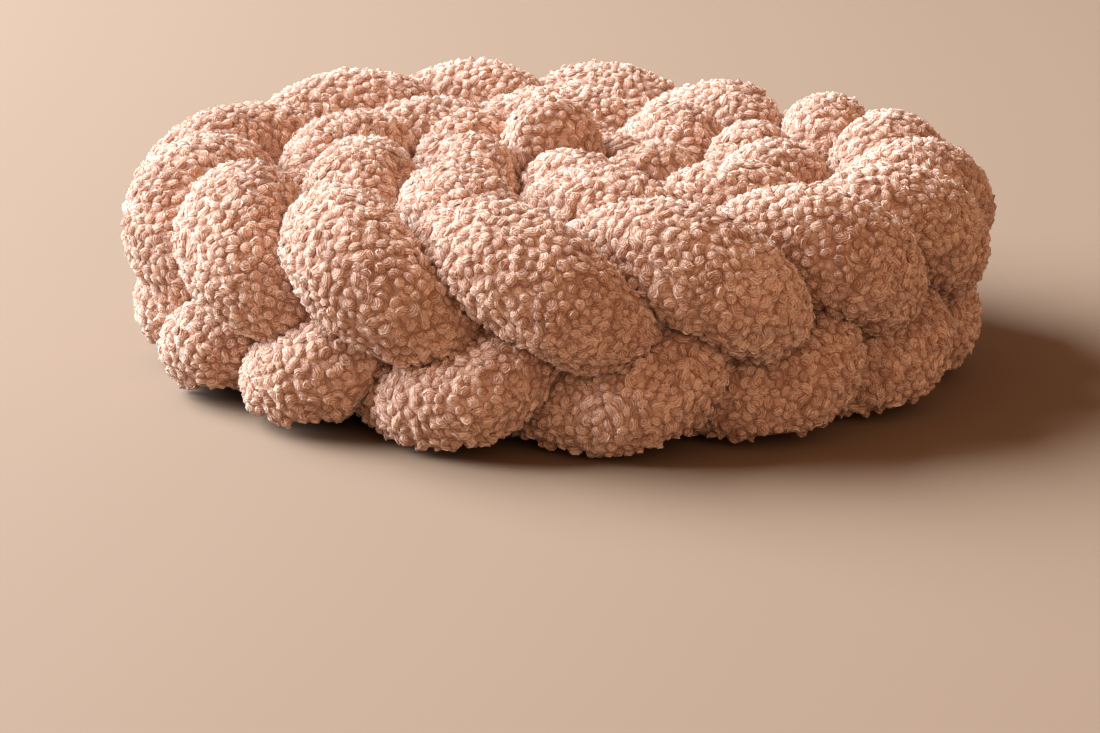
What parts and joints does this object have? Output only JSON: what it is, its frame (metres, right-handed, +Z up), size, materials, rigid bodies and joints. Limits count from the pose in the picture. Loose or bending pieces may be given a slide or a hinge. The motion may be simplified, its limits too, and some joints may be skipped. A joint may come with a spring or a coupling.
{
  "type": "rolled braided crib bumper",
  "caption": "Long bumper of stuffed curly-cloth tubes braided together, wound edge-down into a close round spiral with a raised inner end.",
  "frame": {"origin": "middle of the roll's box at the surface it rests on", "axes": "+Z up, along the axis of the roll; the picture looks along +Y"},
  "size_m": [0.599, 0.647, 0.1857],
  "materials": {
    "curly_cloth": "matt curly pile"
  },
  "bodies": {
    "root": {"strand_a": "curly_cloth", "strand_b": "curly_cloth", "strand_c": "curly_cloth"}
  },
  "joints": []
}
